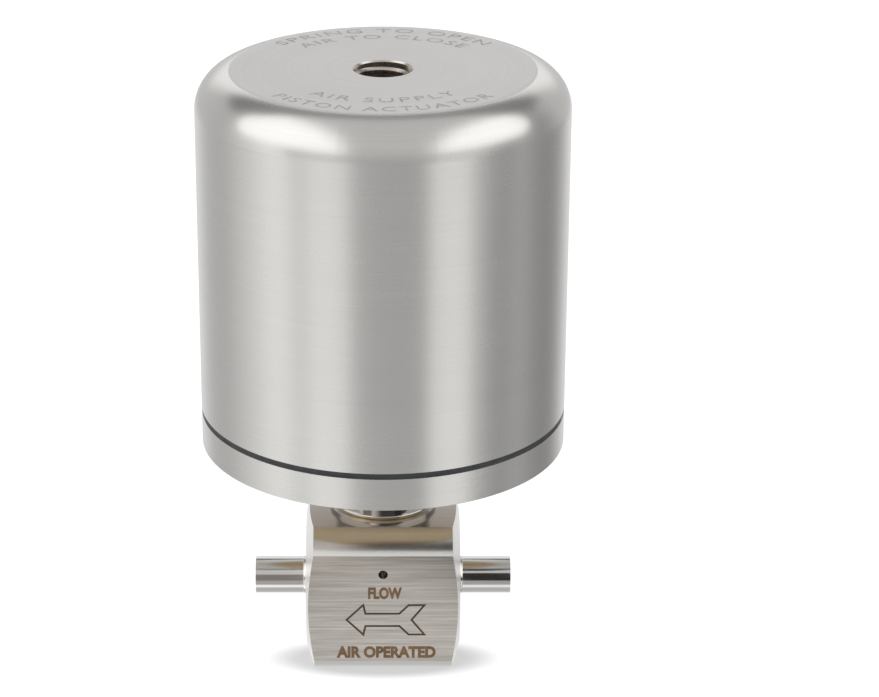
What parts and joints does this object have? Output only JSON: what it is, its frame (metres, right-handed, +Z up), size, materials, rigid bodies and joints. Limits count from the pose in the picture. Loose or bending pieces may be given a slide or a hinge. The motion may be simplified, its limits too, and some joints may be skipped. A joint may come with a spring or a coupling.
{
  "type": "air operated diaphragm valve",
  "caption": "Normally open diaphragm valve with a domed two-piston air actuator on a coned block body with weld tube stubs and a stem that slides to close it.",
  "frame": {"origin": "centre of the body's flat bottom, under the stem", "axes": "+Z up the stem to the air port, +X towards the inlet tube, -Y towards the front flat with the arrow and the leak test hole"},
  "size_m": [0.062, 0.062, 0.1038],
  "materials": {
    "satin_steel": "satin, turned",
    "body_steel": "brushed along the flow",
    "polished_steel": "polished",
    "machined_steel": "machined",
    "spring_steel": "drawn",
    "piston_aluminium": "machined",
    "bearing_bronze": "sintered",
    "seat_plastic": "matte",
    "black_rubber": "matte"
  },
  "bodies": {
    "valve": {"valve_body": "body_steel", "inlet_tube": "polished_steel", "outlet_tube": "polished_steel", "valve_seat": "seat_plastic", "diaphragm": "spring_steel", "clamp_bush": "machined_steel", "bonnet": "polished_steel", "bonnet_lock_nut": "machined_steel", "stem_bush": "bearing_bronze", "actuator_base": "satin_steel", "base_seal": "black_rubber", "joint_ring": "black_rubber", "actuator_cap": "satin_steel", "return_spring": "spring_steel", "divider_plate": "piston_aluminium", "divider_rim_seal": "black_rubber", "divider_sleeve_seal": "black_rubber", "divider_retaining_ring": "spring_steel"},
    "stem_assembly": {"button": "machined_steel", "stem": "machined_steel", "lower_piston": "piston_aluminium", "lower_piston_seal": "black_rubber", "lower_hub_seal": "black_rubber", "spacer_sleeve": "machined_steel", "upper_piston": "piston_aluminium", "upper_piston_seal": "black_rubber", "upper_hub_seal": "black_rubber", "stem_washer": "machined_steel", "stem_nut": "machined_steel"}
  },
  "joints": [
    {"name": "stem_stroke", "type": "slide", "parent": "valve", "child": "stem_assembly", "axis": [0, 0, -1], "range_m": [0, 0.00075], "stiffness_N_per_m": 3000, "springref_m": -0.01, "deforming": ["return_spring", "diaphragm"]}
  ]
}
